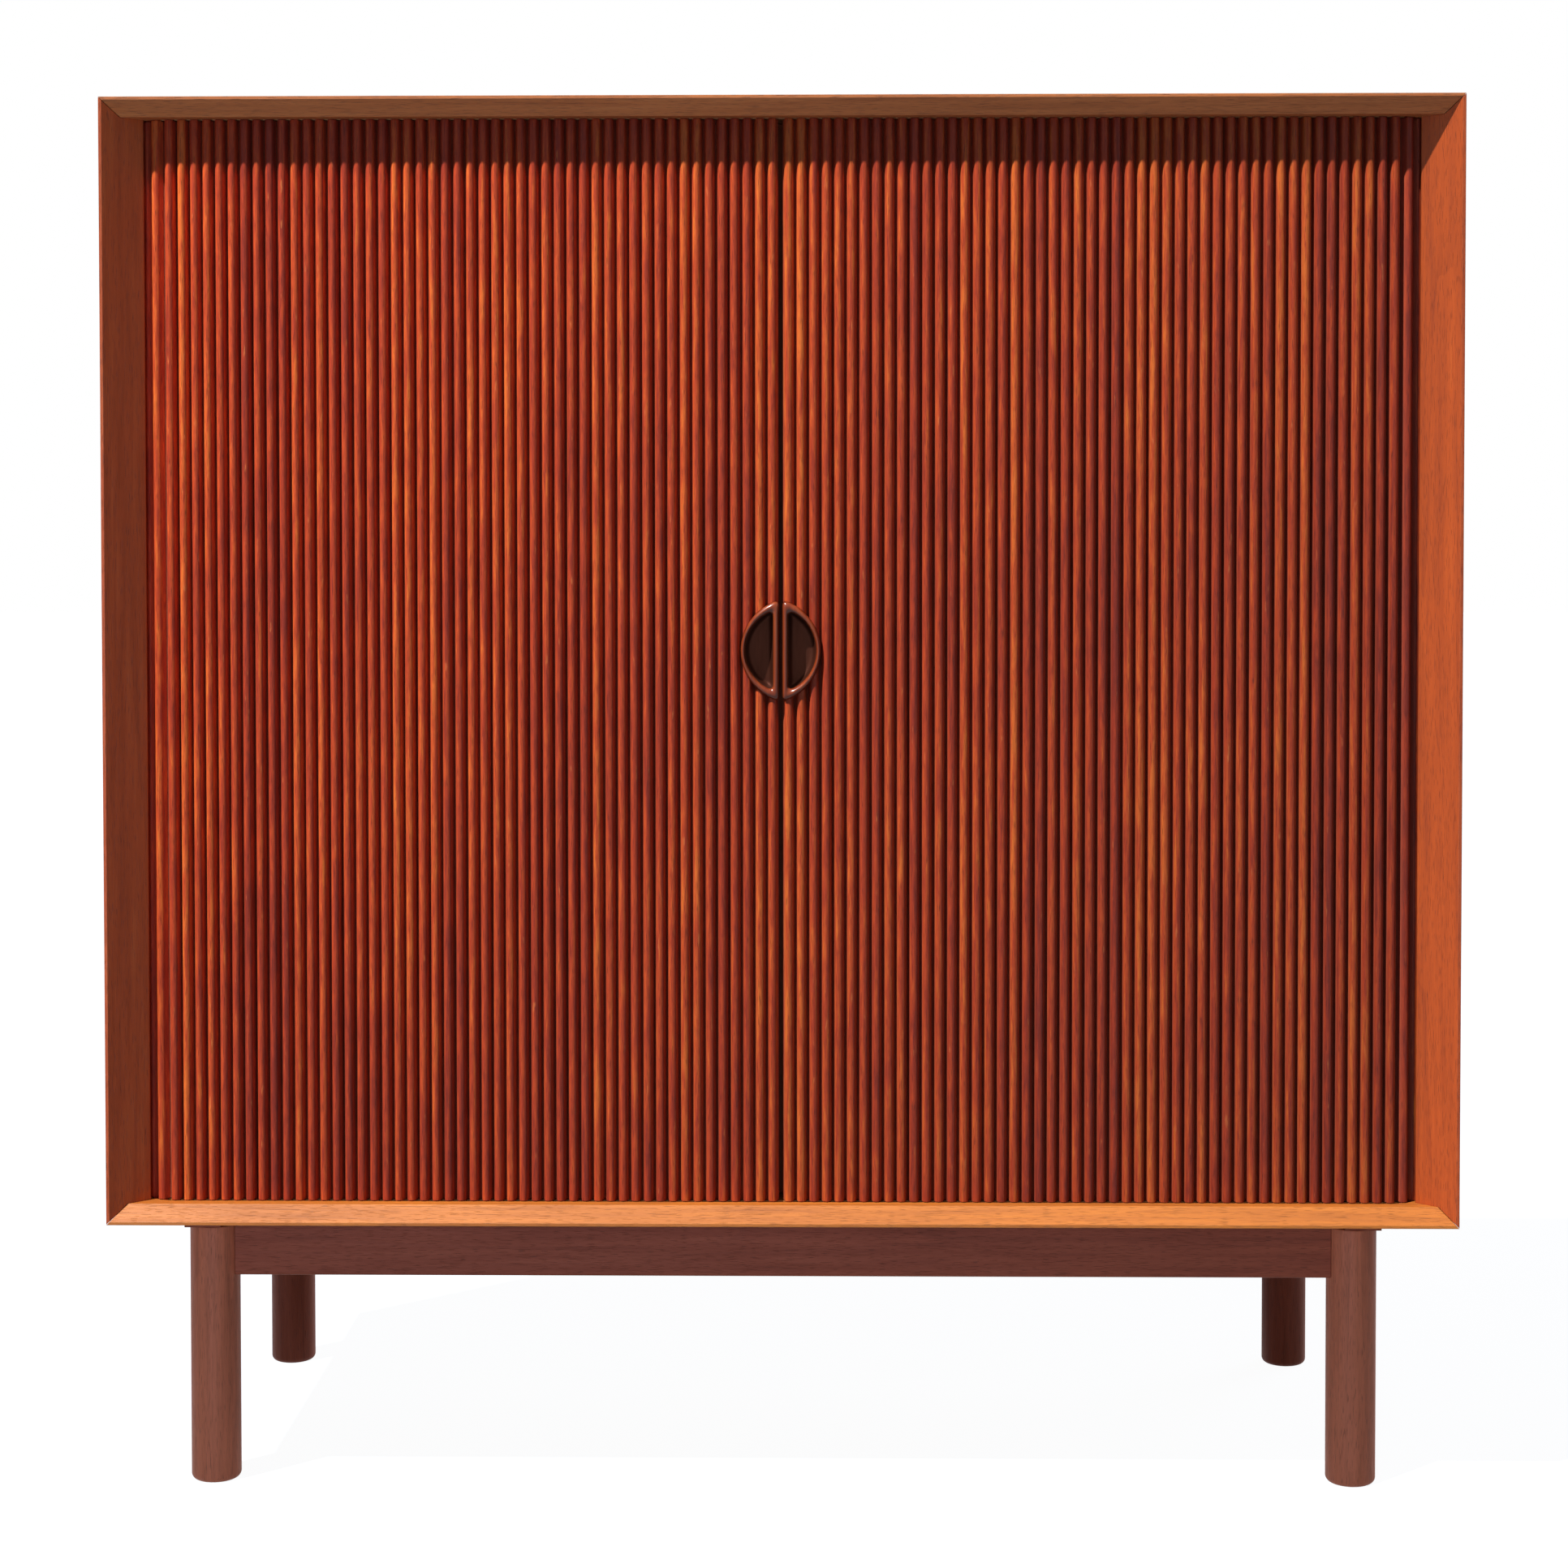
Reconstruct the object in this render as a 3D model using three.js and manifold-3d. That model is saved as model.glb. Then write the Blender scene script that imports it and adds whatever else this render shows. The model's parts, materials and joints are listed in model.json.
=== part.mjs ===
// Tambour door cabinet in teak: a mitred case on a round-legged base frame, closed by two slatted
// curtains that run in grooves round the inside of the case.
// Millimetres, +Z up, front towards -Y, origin on the floor under the middle of the cabinet.

import * as THREE from 'three';
import { mergeVertices } from 'three/addons/utils/BufferGeometryUtils.js';
import Module from 'manifold-3d';

const wasm = await Module();
wasm.setup();

// Case
const caseWidth = 1100;
const caseDepth = 460;
const caseHeight = 916;
const baseHeight = 224;
const boardThickness = 15;
const sideThickness = 20;
const postWidth = 30;
const postDepth = 60;
const frontLip = 2.5;
const mitreGap = 0.3;

// Back, inner walls, partition and shelves
const backThickness = 6;
const backRebateInBoard = 8;
const backRebateInSide = 10;
const backRoom = 0.5;
const falseBackThickness = 6;
const linerThickness = 12;
const linerClearance = 4;
const linerSetback = 9;
const partitionThickness = 18;
const partitionSetback = 60;
const shelfThickness = 16;
const shelfSetback = 78;
const shelfRoom = 0.5;
const shelfBackRoom = 4;
const shelvesPerSide = 2;
const bearerWidth = 12;
const bearerHeight = 14;
const bearerBackRoom = 31;
const bearerNose = 8;
const edgeRound = 3;
const edgeSteps = 3;

// Slatted curtains and their track
const slatRecess = 23;
const slatPitch = 10.25;
const slatGap = 0.9;
const slatFlank = 1.1;
const curtainThickness = 8;
const canvasThickness = 0.6;
const domeRise = 4.2;
const domeSteps = 6;
const bendRadius = 26;
const sideClearance = 2;
const backClearance = 3;
const grooveDepth = 6;
const grooveWidth = 5.4;
const grooveEndFromMiddle = 60;
const tongueThickness = 4;
const tongueInset = 1.75;
const shoulderRoom = 0.8;
const tongueRoom = 0.3;
const meetingGap = 3;
const stripGap = 0.3;
const leadSlats = 4;
const stripsPerDoor = 7;
const tailSlats = 7;
const arcSteps = 5;

// Half-moon pulls
const pullWidth = 31;
const pullHeight = 82.5;
const pullProud = 3.5;
const pullBehind = 6;
const pullAboveMiddle = 10;
const pullBar = 4.6;
const bowlWidth = 23;
const bowlHeight = 60;
const pullFloor = 2;
const pullCorner = 5.5;
const bowlCorner = 7;
const pullRimRound = 1.6;
const bowlRound = 2.2;
const pullRoom = 0.3;
const pullArcSteps = 14;
const pullRoundSteps = 2;
const pullCornerSteps = 4;

// Base frame
const legDiameter = 41;
const legInsetX = 77.5;
const legInsetY = 55;
const legEdgeRound = 5;
const legSides = 24;
const footSteps = 2;
const railThickness = 20;
const railHeight = 42;
const railEdgeRound = 2;
const copeGap = 0.3;
const battenThickness = 10;
const battenWidth = 30;
const battenOverhang = 1;
const frontBattenWidth = 28;
const battenGap = 0.3;

// Screws that hold the case on the base
const screwShank = 4;
const screwHead = 8;
const screwHeadDepth = 2.4;
const screwSlotWidth = 1.3;
const screwSlotDepth = 0.8;
const screwLength = 17;
const screwRoom = 0.3;
const screwFromLeg = 60;
const screwEdgeDistance = 6;
const screwSides = 12;

// How far a cutting solid runs past the faces that it cuts
const overrun = 4;

// Places that follow from the sizes above
const halfWidth = caseWidth / 2;
const halfDepth = caseDepth / 2;
const caseTop = baseHeight + caseHeight;
const innerBottom = baseHeight + boardThickness;
const innerTop = caseTop - boardThickness;
const innerHeight = innerTop - innerBottom;
const curtainHalf = curtainThickness / 2;
const trackDepth = slatRecess + curtainHalf;
const trackRearDepth = caseDepth - backThickness - backClearance - curtainHalf;
const trackSideX = halfWidth - sideThickness - sideClearance - curtainHalf;
const bendCentreX = trackSideX - bendRadius;
const hingeOffset = curtainHalf - canvasThickness;
const hingeRadius = bendRadius - hingeOffset;
const linerOuterX = trackSideX - curtainHalf - linerClearance;
const linerInnerX = linerOuterX - linerThickness;
const linerFrontDepth = trackDepth + bendRadius + linerSetback;
const falseBackRearDepth = trackRearDepth - bendRadius;
const falseBackFrontDepth = falseBackRearDepth - falseBackThickness;
const frontStart = meetingGap / 2;
const slatsToBend = Math.floor((bendCentreX - frontStart) / slatPitch);
const slatsInStrips = slatsToBend - leadSlats;
const legRadius = legDiameter / 2;
const legX = halfWidth - legInsetX;
const legY = halfDepth - legInsetY;
const railTop = baseHeight - battenThickness;
const railBottom = railTop - railHeight;
const battenOuterX = legX + legRadius + battenOverhang;
const battenInnerX = battenOuterX - battenWidth;
const leftSide = -1;
const rightSide = 1;
const quarterTurn = Math.PI / 2;

const atDepth = (depth) => depth - halfDepth;

// Finishes
const finishes = {
  caseTeak: { color: 0xa2512b, roughness: 0.5, metalness: 0 },
  slatTeak: { color: 0xb4552a, roughness: 0.45, metalness: 0 },
  pullTeak: { color: 0x9a4626, roughness: 0.4, metalness: 0 },
  baseTeak: { color: 0x70402c, roughness: 0.5, metalness: 0 },
  innerWood: { color: 0xb98a5a, roughness: 0.6, metalness: 0 },
  plywood: { color: 0xb08355, roughness: 0.65, metalness: 0 },
  steel: { color: 0x9a9a98, roughness: 0.35, metalness: 1 },
};

// Geometry helpers

function toSolid(geometry) {
  const bare = geometry.clone();
  bare.deleteAttribute('normal');
  bare.deleteAttribute('uv');
  const merged = mergeVertices(bare);
  return new wasm.Manifold(new wasm.Mesh({
    numProp: 3,
    vertProperties: new Float32Array(merged.getAttribute('position').array),
    triVerts: new Uint32Array(merged.getIndex().array),
  }));
}

function toGeometry(solid) {
  const mesh = solid.getMesh();
  const geometry = new THREE.BufferGeometry();
  geometry.setAttribute('position', new THREE.BufferAttribute(new Float32Array(mesh.vertProperties), 3));
  geometry.setIndex(new THREE.BufferAttribute(new Uint32Array(mesh.triVerts), 1));
  geometry.computeVertexNormals();
  return geometry;
}

function joined(first, ...others) {
  return toGeometry(others.reduce((solid, other) => solid.add(toSolid(other)), toSolid(first)));
}

function cut(base, ...cutters) {
  return toGeometry(cutters.reduce((solid, cutter) => solid.subtract(toSolid(cutter)), toSolid(base)));
}

function common(first, second) {
  return toGeometry(toSolid(first).intersect(toSolid(second)));
}

function boxBetween(low, high) {
  const size = high.map((value, axis) => value - low[axis]);
  const middle = high.map((value, axis) => (value + low[axis]) / 2);
  return new THREE.BoxGeometry(...size).translate(...middle);
}

function polygon(points) {
  return new THREE.Shape(points.map(([x, y]) => new THREE.Vector2(x, y)));
}

// A plan outline in X and Y, raised from one height to another.
function raised(shape, bottom, top, curveSegments = arcSteps) {
  const settings = { depth: top - bottom, bevelEnabled: false, curveSegments };
  return new THREE.ExtrudeGeometry(shape, settings).translate(0, 0, bottom);
}

// A front outline in X and Z, run back from one depth to another.
function runBack(shape, frontDepth, backDepth) {
  const settings = { depth: backDepth - frontDepth, bevelEnabled: false };
  return new THREE.ExtrudeGeometry(shape, settings).rotateX(quarterTurn).translate(0, atDepth(backDepth), 0);
}

// An end outline in depth and Z, run sideways across a width centred on the cabinet.
function runAcross(points, width) {
  const shape = polygon(points.map(([depth, z]) => [atDepth(depth), z]));
  const settings = { depth: width, bevelEnabled: false };
  const run = new THREE.ExtrudeGeometry(shape, settings).rotateX(quarterTurn).rotateZ(quarterTurn);
  return run.translate(-width / 2, 0, 0);
}

function part(name, geometry, finish) {
  const mesh = new THREE.Mesh(geometry, new THREE.MeshStandardMaterial(finish));
  mesh.name = name;
  return mesh;
}

// Case boards

// The groove that the curtains run in, as one plan outline: across the front, round both front bends,
// along the sides, round the rear bends and back towards the middle behind the false back.
function trackOutline() {
  const half = grooveWidth / 2;
  const frontY = atDepth(trackDepth);
  const rearY = atDepth(trackRearDepth);
  const frontBendY = frontY + bendRadius;
  const rearBendY = rearY - bendRadius;
  const outer = bendRadius + half;
  const inner = bendRadius - half;
  const shape = new THREE.Shape();
  shape.moveTo(-bendCentreX, frontY - half);
  shape.lineTo(bendCentreX, frontY - half);
  shape.absarc(bendCentreX, frontBendY, outer, -quarterTurn, 0, false);
  shape.absarc(bendCentreX, rearBendY, outer, 0, quarterTurn, false);
  shape.lineTo(grooveEndFromMiddle, rearY + half);
  shape.absarc(grooveEndFromMiddle, rearY, half, quarterTurn, -quarterTurn, false);
  shape.absarc(bendCentreX, rearBendY, inner, quarterTurn, 0, true);
  shape.absarc(bendCentreX, frontBendY, inner, 0, -quarterTurn, true);
  shape.lineTo(-bendCentreX, frontY + half);
  shape.absarc(-bendCentreX, frontBendY, inner, -quarterTurn, -2 * quarterTurn, true);
  shape.absarc(-bendCentreX, rearBendY, inner, 2 * quarterTurn, quarterTurn, true);
  shape.lineTo(-grooveEndFromMiddle, rearY - half);
  shape.absarc(-grooveEndFromMiddle, rearY, half, -quarterTurn, quarterTurn, false);
  shape.absarc(-bendCentreX, rearBendY, outer, quarterTurn, 2 * quarterTurn, false);
  shape.absarc(-bendCentreX, frontBendY, outer, -2 * quarterTurn, -quarterTurn, false);
  return shape;
}

// A board with its inner face at height 0 and its outer face above it. Both ends are mitred, the front
// edge is bevelled inwards behind a narrow lip, and the inner face carries the track.
function caseBoard() {
  const outline = polygon([
    [-halfWidth, boardThickness],
    [boardThickness - halfWidth, 0],
    [halfWidth - boardThickness, 0],
    [halfWidth, boardThickness],
  ]);
  const bevel = runAcross([
    [-overrun, boardThickness - frontLip + overrun],
    [-overrun, -overrun],
    [boardThickness - frontLip + overrun, -overrun],
  ], caseWidth + overrun);
  const rebate = boxBetween(
    [-halfWidth, atDepth(caseDepth - backThickness), -overrun],
    [halfWidth, atDepth(caseDepth + overrun), backRebateInBoard],
  );
  const track = raised(trackOutline(), -overrun, grooveDepth);
  return cut(runBack(outline, 0, caseDepth), bevel, rebate, track);
}

function topPanel() {
  const mesh = part('top_panel', caseBoard(), finishes.caseTeak);
  mesh.position.z = innerTop;
  return mesh;
}

function bottomPanel() {
  const screwHoles = screwPlaces().map(([x, y]) => {
    const depth = screwLength - battenThickness + screwRoom;
    const hole = new THREE.CylinderGeometry(screwBore(), screwBore(), depth + overrun, screwSides);
    return hole.rotateX(quarterTurn).translate(-x, y, boardThickness - (depth - overrun) / 2);
  });
  const mesh = part('bottom_panel', cut(caseBoard(), ...screwHoles), finishes.caseTeak);
  mesh.rotation.y = Math.PI;
  mesh.position.z = innerBottom;
  return mesh;
}

// Front outline of a side of the case, mitred under the boards at both ends.
function sideOutline(side) {
  const slant = mitreGap * Math.SQRT2;
  const outer = side * halfWidth;
  const shoulder = side * (halfWidth - boardThickness + slant);
  const inner = side * (halfWidth - postWidth - overrun);
  return polygon([
    [outer, baseHeight + slant],
    [outer, caseTop - slant],
    [shoulder, innerTop],
    [inner, innerTop],
    [inner, innerBottom],
    [shoulder, innerBottom],
  ]);
}

function mitredUpright(side, plan) {
  const mitred = runBack(sideOutline(side), -overrun, caseDepth + overrun);
  return common(raised(plan, baseHeight, caseTop), mitred);
}

function sidePanel(side, name) {
  const outer = side * halfWidth;
  const inner = side * (halfWidth - sideThickness);
  const rebate = side * (halfWidth - sideThickness + backRebateInSide);
  const plan = polygon([
    [outer, atDepth(postDepth)],
    [outer, atDepth(caseDepth)],
    [rebate, atDepth(caseDepth)],
    [rebate, atDepth(caseDepth - backThickness)],
    [inner, atDepth(caseDepth - backThickness)],
    [inner, atDepth(postDepth)],
  ]);
  return part(name, mitredUpright(side, plan), finishes.caseTeak);
}

// The solid front post: a narrow lip, a deep inward bevel, and a cove behind it that the curtain
// turns past.
function frontPost(side, name) {
  const coveRadius = bendRadius + curtainHalf + sideClearance;
  const coveY = atDepth(trackDepth) + bendRadius;
  const innerEdge = halfWidth - postWidth;
  const startAngle = Math.acos((innerEdge - bendCentreX) / coveRadius);
  const plan = new THREE.Shape();
  plan.moveTo(side * halfWidth, atDepth(postDepth));
  plan.lineTo(side * halfWidth, atDepth(0));
  plan.lineTo(side * (halfWidth - frontLip), atDepth(0));
  plan.lineTo(side * innerEdge, atDepth(postWidth - frontLip));
  plan.lineTo(side * innerEdge, coveY - coveRadius * Math.sin(startAngle));
  if (side === rightSide) {
    plan.absarc(bendCentreX, coveY, coveRadius, -startAngle, 0, false);
  } else {
    plan.absarc(-bendCentreX, coveY, coveRadius, startAngle - Math.PI, -Math.PI, true);
  }
  plan.lineTo(side * (halfWidth - sideThickness), atDepth(postDepth));
  return part(name, mitredUpright(side, plan), finishes.caseTeak);
}

function backPanel() {
  const x = halfWidth - sideThickness + backRebateInSide - backRoom;
  const lap = backRebateInBoard - backRoom;
  const board = boxBetween(
    [-x, atDepth(caseDepth - backThickness), innerBottom - lap],
    [x, atDepth(caseDepth), innerTop + lap],
  );
  return part('back_panel', board, finishes.plywood);
}

function falseBack() {
  const board = boxBetween(
    [-linerInnerX, atDepth(falseBackFrontDepth), innerBottom],
    [linerInnerX, atDepth(falseBackRearDepth), innerTop],
  );
  return part('false_back', board, finishes.plywood);
}

// An upright board in plan, with its front edge rounded over.
function roundedFrontPlan(lowX, highX, frontDepth, backDepth) {
  const front = atDepth(frontDepth);
  const shape = new THREE.Shape();
  shape.moveTo(lowX, atDepth(backDepth));
  shape.lineTo(lowX, front + edgeRound);
  shape.absarc(lowX + edgeRound, front + edgeRound, edgeRound, -2 * quarterTurn, -quarterTurn, false);
  shape.absarc(highX - edgeRound, front + edgeRound, edgeRound, -quarterTurn, 0, false);
  shape.lineTo(highX, atDepth(backDepth));
  return shape;
}

function liner(side, name) {
  const [lowX, highX] = [side * linerInnerX, side * linerOuterX].sort((a, b) => a - b);
  const plan = roundedFrontPlan(lowX, highX, linerFrontDepth, falseBackRearDepth);
  return part(name, raised(plan, innerBottom, innerTop, edgeSteps), finishes.innerWood);
}

function partition() {
  const half = partitionThickness / 2;
  const plan = roundedFrontPlan(-half, half, partitionSetback, falseBackFrontDepth);
  return part('centre_partition', raised(plan, innerBottom, innerTop, edgeSteps), finishes.innerWood);
}

// Shelves

function shelfUndersides() {
  const clear = (innerHeight - shelvesPerSide * shelfThickness) / (shelvesPerSide + 1);
  return Array.from({ length: shelvesPerSide }, (_, level) => (
    innerBottom + clear + level * (clear + shelfThickness)
  ));
}

// A shelf with a rounded nose along its front edge.
function shelf(side, underside, name) {
  const nose = shelfThickness / 2;
  const width = linerInnerX - partitionThickness / 2 - 2 * shelfRoom;
  const section = new THREE.Shape();
  section.moveTo(falseBackFrontDepth - shelfBackRoom, 0);
  section.lineTo(falseBackFrontDepth - shelfBackRoom, shelfThickness);
  section.absarc(shelfSetback + nose, nose, nose, quarterTurn, 3 * quarterTurn, false);
  const points = section.getPoints(arcSteps).map((point) => [point.x, point.y]);
  const mesh = part(name, runAcross(points, width), finishes.innerWood);
  mesh.position.set(side * (partitionThickness / 2 + shelfRoom + width / 2), 0, underside);
  return mesh;
}

// A strip under one end of a shelf, with its front end sloped back out of sight.
function bearer(wallX, towards, underside, name) {
  const front = atDepth(shelfSetback + shelfThickness);
  const rear = atDepth(falseBackFrontDepth - bearerBackRoom);
  const profile = polygon([
    [front + bearerNose, underside - bearerHeight],
    [rear, underside - bearerHeight],
    [rear, underside],
    [front, underside],
    [front, underside - bearerHeight + bearerNose],
  ]);
  const run = new THREE.ExtrudeGeometry(profile, { depth: bearerWidth, bevelEnabled: false });
  run.rotateX(quarterTurn).rotateZ(quarterTurn);
  const mesh = part(name, run, finishes.innerWood);
  mesh.position.x = towards > 0 ? wallX : wallX - bearerWidth;
  return mesh;
}

function shelvesOn(side, sideName) {
  const pieces = new THREE.Group();
  const partitionX = side * partitionThickness / 2;
  const linerX = side * linerInnerX;
  const levelNames = ['lower', 'upper'];
  shelfUndersides().forEach((underside, level) => {
    const name = `${sideName}_${levelNames[level]}_shelf`;
    pieces.add(shelf(side, underside, name));
    pieces.add(bearer(partitionX, side, underside, `${name}_inner_bearer`));
    pieces.add(bearer(linerX, -side, underside, `${name}_outer_bearer`));
  });
  return pieces;
}

// Base frame

function leg(x, y, name) {
  const profile = new THREE.Path();
  profile.moveTo(0, 0);
  profile.lineTo(legRadius - legEdgeRound, 0);
  profile.absarc(legRadius - legEdgeRound, legEdgeRound, legEdgeRound, -quarterTurn, 0, false);
  profile.lineTo(legRadius, railTop);
  profile.lineTo(0, railTop);
  const turned = new THREE.LatheGeometry(profile.getPoints(footSteps), legSides).rotateX(quarterTurn);
  const mesh = part(name, turned, finishes.baseTeak);
  mesh.position.set(x, y, 0);
  return mesh;
}

// A rail section with its lower edges rounded over, as half its thickness either side of the middle.
function railSection() {
  const half = railThickness / 2;
  const shape = new THREE.Shape();
  shape.moveTo(half, railTop);
  shape.lineTo(-half, railTop);
  shape.lineTo(-half, railBottom + railEdgeRound);
  shape.absarc(railEdgeRound - half, railBottom + railEdgeRound, railEdgeRound,
    -2 * quarterTurn, -quarterTurn, false);
  shape.absarc(half - railEdgeRound, railBottom + railEdgeRound, railEdgeRound, -quarterTurn, 0, false);
  return shape;
}

// A rail between two legs, with its ends coped to their round sides.
function rail(span, name) {
  const settings = { depth: span, bevelEnabled: false, curveSegments: edgeSteps };
  const run = new THREE.ExtrudeGeometry(railSection(), settings);
  run.translate(0, 0, -span / 2).rotateX(quarterTurn).rotateZ(quarterTurn);
  const copes = [-span / 2, span / 2].map((x) => {
    const round = new THREE.CylinderGeometry(legRadius + copeGap, legRadius + copeGap,
      railTop + overrun, legSides);
    return round.rotateX(quarterTurn).translate(x, 0, railTop / 2 + overrun);
  });
  return part(name, cut(run, ...copes), finishes.baseTeak);
}

function crossRail(y, name) {
  const mesh = rail(2 * legX, name);
  mesh.position.y = y;
  return mesh;
}

function sideRail(x, name) {
  const mesh = rail(2 * legY, name);
  mesh.rotation.z = quarterTurn;
  mesh.position.x = x;
  return mesh;
}

function screwBore() {
  return screwShank / 2 + screwRoom;
}

function screwPlaces() {
  const x = battenOuterX - screwEdgeDistance;
  const y = legY - screwFromLeg;
  return [[-x, -y], [x, -y], [-x, y], [x, y]];
}

// A strip between the base frame and the case, drilled and countersunk for the screws on its side.
function sideBatten(side, name) {
  const endY = legY + legRadius - battenOverhang;
  const [lowX, highX] = [side * battenInnerX, side * battenOuterX].sort((a, b) => a - b);
  const strip = boxBetween([lowX, -endY, railTop], [highX, endY, baseHeight]);
  const holes = screwPlaces().filter(([x]) => x * side > 0).flatMap(([x, y]) => {
    const boreLength = battenThickness + 2 * overrun;
    const bore = new THREE.CylinderGeometry(screwBore(), screwBore(), boreLength, screwSides);
    const sink = screwHeadForm(screwRoom);
    return [
      bore.rotateX(quarterTurn).translate(x, y, railTop + battenThickness / 2),
      sink.translate(x, y, railTop),
    ];
  });
  return part(name, cut(strip, ...holes), finishes.baseTeak);
}

function crossBatten(side, name) {
  const middle = side * legY;
  const x = battenInnerX - battenGap;
  const strip = boxBetween(
    [-x, middle - frontBattenWidth / 2, railTop],
    [x, middle + frontBattenWidth / 2, baseHeight],
  );
  return part(name, strip, finishes.baseTeak);
}

// A countersunk head standing on height 0, larger all round by the room that its seat needs.
function screwHeadForm(room) {
  const profile = [
    [0, -room],
    [screwHead / 2 + room, -room],
    [screwHead / 2 + room, room],
    [screwShank / 2 + room, screwHeadDepth + room],
    [0, screwHeadDepth + room],
  ];
  return new THREE.LatheGeometry(profile.map(([r, z]) => new THREE.Vector2(r, z)), screwSides)
    .rotateX(quarterTurn);
}

function screw(x, y, name) {
  const head = screwHeadForm(0);
  const shank = new THREE.CylinderGeometry(screwShank / 2, screwShank / 2, screwLength - screwHeadDepth / 2,
    screwSides);
  shank.rotateX(quarterTurn).translate(0, 0, (screwLength + screwHeadDepth / 2) / 2);
  const slot = boxBetween(
    [-screwHead, -screwSlotWidth / 2, -overrun],
    [screwHead, screwSlotWidth / 2, screwSlotDepth],
  );
  const mesh = part(name, cut(joined(head, shank), slot), finishes.steel);
  mesh.position.set(x, y, railTop);
  return mesh;
}

// Slatted curtains

// Where the front face of the canvas runs at a distance from the middle of the cabinet, with the
// direction that the slats face there.
function hingePoint(side, distance) {
  const bendY = atDepth(trackDepth) + bendRadius;
  const bendLength = hingeRadius * quarterTurn;
  if (distance <= bendCentreX) {
    return { x: side * distance, y: atDepth(trackDepth) + hingeOffset, turn: 0 };
  }
  const angle = Math.min((distance - bendCentreX) / hingeRadius, quarterTurn);
  const past = Math.max(distance - bendCentreX - bendLength, 0);
  return {
    x: side * (bendCentreX + hingeRadius * Math.sin(angle)),
    y: bendY - hingeRadius * Math.cos(angle) + past,
    turn: side * angle,
  };
}

// One slat standing on the canvas: sloped flanks, a half-round front, and a tongue at each end for
// the track.
function slatGeometry() {
  const half = (slatPitch - slatGap) / 2;
  const domeHalf = half - slatFlank;
  const shoulder = domeRise - (curtainThickness - canvasThickness);
  const shape = new THREE.Shape();
  shape.moveTo(-half, canvasThickness / 2);
  for (let step = 0; step <= domeSteps; step += 1) {
    const angle = Math.PI * step / domeSteps;
    shape.lineTo(-domeHalf * Math.cos(angle), shoulder - domeRise * Math.sin(angle));
  }
  shape.lineTo(half, canvasThickness / 2);
  const body = raised(shape, innerBottom + shoulderRoom, innerTop - shoulderRoom);
  const tongueHalf = half - tongueInset;
  const tongueMiddle = -hingeOffset;
  const tongue = boxBetween(
    [-tongueHalf, tongueMiddle - tongueThickness / 2, innerBottom - grooveDepth + tongueRoom],
    [tongueHalf, tongueMiddle + tongueThickness / 2, innerTop + grooveDepth - tongueRoom],
  );
  return joined(body, tongue);
}

const slat = slatGeometry();

// A point reached from the hinge line at a slat's middle, going along the slat and then behind it.
function pointBehind(place, along, behind) {
  return new THREE.Vector2(along, behind).rotateAround(new THREE.Vector2(), place.turn)
    .add(new THREE.Vector2(place.x, place.y));
}

// Where the canvas folds between two slats: the crossing of the lines that run behind them.
function foldPoint(place, next, behind) {
  const start = pointBehind(place, 0, behind);
  const along = pointBehind(place, 1, behind).sub(start);
  const nextStart = pointBehind(next, 0, behind);
  const nextAlong = pointBehind(next, 1, behind).sub(nextStart);
  const share = nextStart.clone().sub(start).cross(nextAlong) / along.cross(nextAlong);
  return start.addScaledVector(along, share);
}

// The canvas behind a run of slats, as a band with one flat behind each slat.
function canvasBand(side, places) {
  const reach = (slatPitch - stripGap) / 2;
  const line = (behind) => [
    pointBehind(places[0], -side * reach, behind),
    ...places.slice(1).flatMap((place, index) => (
      place.turn === places[index].turn ? [] : [foldPoint(places[index], place, behind)]
    )),
    pointBehind(places[places.length - 1], side * reach, behind),
  ];
  const outline = new THREE.Shape([...line(0), ...line(canvasThickness).reverse()]);
  return raised(outline, innerBottom + shoulderRoom, innerTop - shoulderRoom);
}

function curtainRun(side, firstSlat, count) {
  const places = Array.from({ length: count }, (_, index) => (
    hingePoint(side, frontStart + (firstSlat + index + 1 / 2) * slatPitch)
  ));
  const slats = places.map(({ x, y, turn }) => slat.clone().rotateZ(turn).translate(x, y, 0));
  return joined(canvasBand(side, places), ...slats);
}

function leadRun(side, name) {
  const run = curtainRun(side, 0, leadSlats);
  const outline = halfMoon(side, -pullRoom, pullWidth + 2 * pullRoom, pullHeight + 2 * pullRoom, pullCorner);
  const hole = pullForm(outline, overrun + pullProud, overrun + pullBehind, 0);
  return part(name, cut(run, hole), finishes.slatTeak);
}

// The first slat of each strip between the lead section and the bend, and how many it has.
function stripSpans() {
  return Array.from({ length: stripsPerDoor }, (_, index) => {
    const first = Math.round(slatsInStrips * index / stripsPerDoor);
    const next = Math.round(slatsInStrips * (index + 1) / stripsPerDoor);
    return { first: leadSlats + first, count: next - first };
  });
}

// Half-moon pulls

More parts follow.
